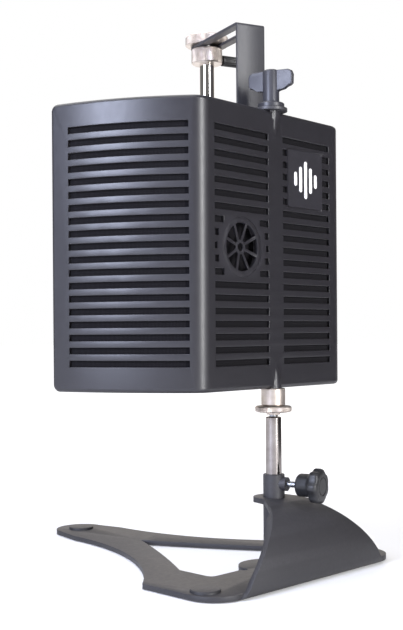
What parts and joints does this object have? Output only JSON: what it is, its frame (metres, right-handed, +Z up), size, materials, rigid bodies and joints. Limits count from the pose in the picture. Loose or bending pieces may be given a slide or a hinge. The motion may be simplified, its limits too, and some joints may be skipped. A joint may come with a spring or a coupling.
{
  "type": "microphone isolation shield",
  "caption": "Folded acoustic shield with slotted walls on a height-adjustable pole, with a bent steel floor base and a swinging bracket that hangs a microphone inside it.",
  "frame": {"origin": "on the floor, under the middle of the object's footprint; the pole's axis is 134 mm behind it along -Y", "axes": "+Z up along the pole, +Y from the pole towards the toe of the base and the microphone side, +X along the flat back of the shield"},
  "size_m": [0.3428, 0.391, 0.5631],
  "materials": {
    "powder_coat": "fine textured charcoal powder coat",
    "rubber": "matt black rubber",
    "chrome": "bright chrome plating",
    "steel": "bright zinc-plated steel",
    "nickel": "satin nickel plating with knurling",
    "knob_plastic": "fine matt black moulded plastic",
    "handle_plastic": "moulded plastic, slightly blue dark grey",
    "shield_plastic": "satin charcoal ABS with a fine spark texture",
    "inner_plastic": "satin charcoal ABS with a fine spark texture",
    "felt": "black acoustic cloth",
    "wool": "grey pressed wool felt",
    "foil": "plain rolled foil",
    "spacer": "black foam plastic",
    "badge": "satin charcoal ABS",
    "sign": "light grey printed plastic",
    "brass": "machined brass",
    "bracket_paint": "satin dark grey paint",
    "thumb_black": "black moulded plastic with ribs"
  },
  "bodies": {
    "stand": {"base_plate": "powder_coat", "rubber_feet": "rubber", "base_tube": "powder_coat", "tube_plug": "steel", "base_screw": "steel", "clamp_boss": "powder_coat"},
    "clamp": {"clamp_screw": "steel", "clamp_knob": "knob_plastic"},
    "pole": {"pole": "chrome", "pole_stud": "steel", "pole_end_plug": "knob_plastic"},
    "lock_disc": {"lock_disc": "nickel"},
    "shield": {"adapter_nut": "nickel", "outer_cover": "shield_plastic", "inner_cover": "inner_plastic", "outer_scrim": "felt", "outer_wool": "wool", "foil_sheet": "foil", "inner_wool": "wool", "inner_scrim": "felt", "spacer_bars": "spacer", "rosette_cloth": "felt", "rosette_grille": "shield_plastic", "badge_plate": "badge", "badge_sign": "sign", "top_insert": "brass", "bottom_insert": "brass", "cover_screws": "steel"},
    "top_handle": {"top_screw": "steel", "top_knob": "handle_plastic"},
    "bracket": {"mic_bracket": "bracket_paint"},
    "carriage": {"stem_collar": "nickel", "collar_stud": "steel"},
    "disc_nut": {"top_disc_nut": "nickel"},
    "stem": {"mic_stem": "chrome", "stem_thread": "steel"},
    "thumb": {"thumb_screw": "steel", "thumb_head": "thumb_black"}
  },
  "joints": [
    {"name": "clamp_turn", "type": "hinge", "parent": "stand", "child": "clamp", "pos_m": [0.00624, -0.16353, 0.088], "axis": [0.2079, -0.9781, 0], "continuous": true},
    {"name": "pole_height", "type": "slide", "parent": "stand", "child": "pole", "axis": [0, 0, 1], "range_m": [-0.032, 0.028]},
    {"name": "lock_disc_turn", "type": "hinge", "parent": "pole", "child": "lock_disc", "pos_m": [0, -0.13419, 0.1615], "axis": [0, 0, 1], "continuous": true},
    {"name": "shield_swivel", "type": "hinge", "parent": "pole", "child": "shield", "pos_m": [0, -0.13419, 0.17], "axis": [0, 0, 1], "continuous": true},
    {"name": "top_handle_turn", "type": "hinge", "parent": "shield", "child": "top_handle", "pos_m": [0, -0.13419, 0.48], "axis": [0, 0, 1], "continuous": true},
    {"name": "bracket_swing", "type": "hinge", "parent": "shield", "child": "bracket", "pos_m": [0, -0.13419, 0.456], "axis": [0, 0, 1], "range_deg": [-30, 72.6]},
    {"name": "stem_reach", "type": "slide", "parent": "bracket", "child": "carriage", "axis": [0.3633, 0.9317, 0], "range_m": [-0.076, 0]},
    {"name": "disc_nut_turn", "type": "hinge", "parent": "carriage", "child": "disc_nut", "pos_m": [0.05031, -0.00515, 0.558], "axis": [0, 0, 1], "continuous": true},
    {"name": "stem_turn", "type": "hinge", "parent": "carriage", "child": "stem", "pos_m": [0.05031, -0.00515, 0.46], "axis": [0, 0, 1], "continuous": true},
    {"name": "thumb_turn", "type": "hinge", "parent": "carriage", "child": "thumb", "pos_m": [0.07826, -0.01605, 0.5396], "axis": [0.9317, -0.3633, 0], "continuous": true}
  ]
}
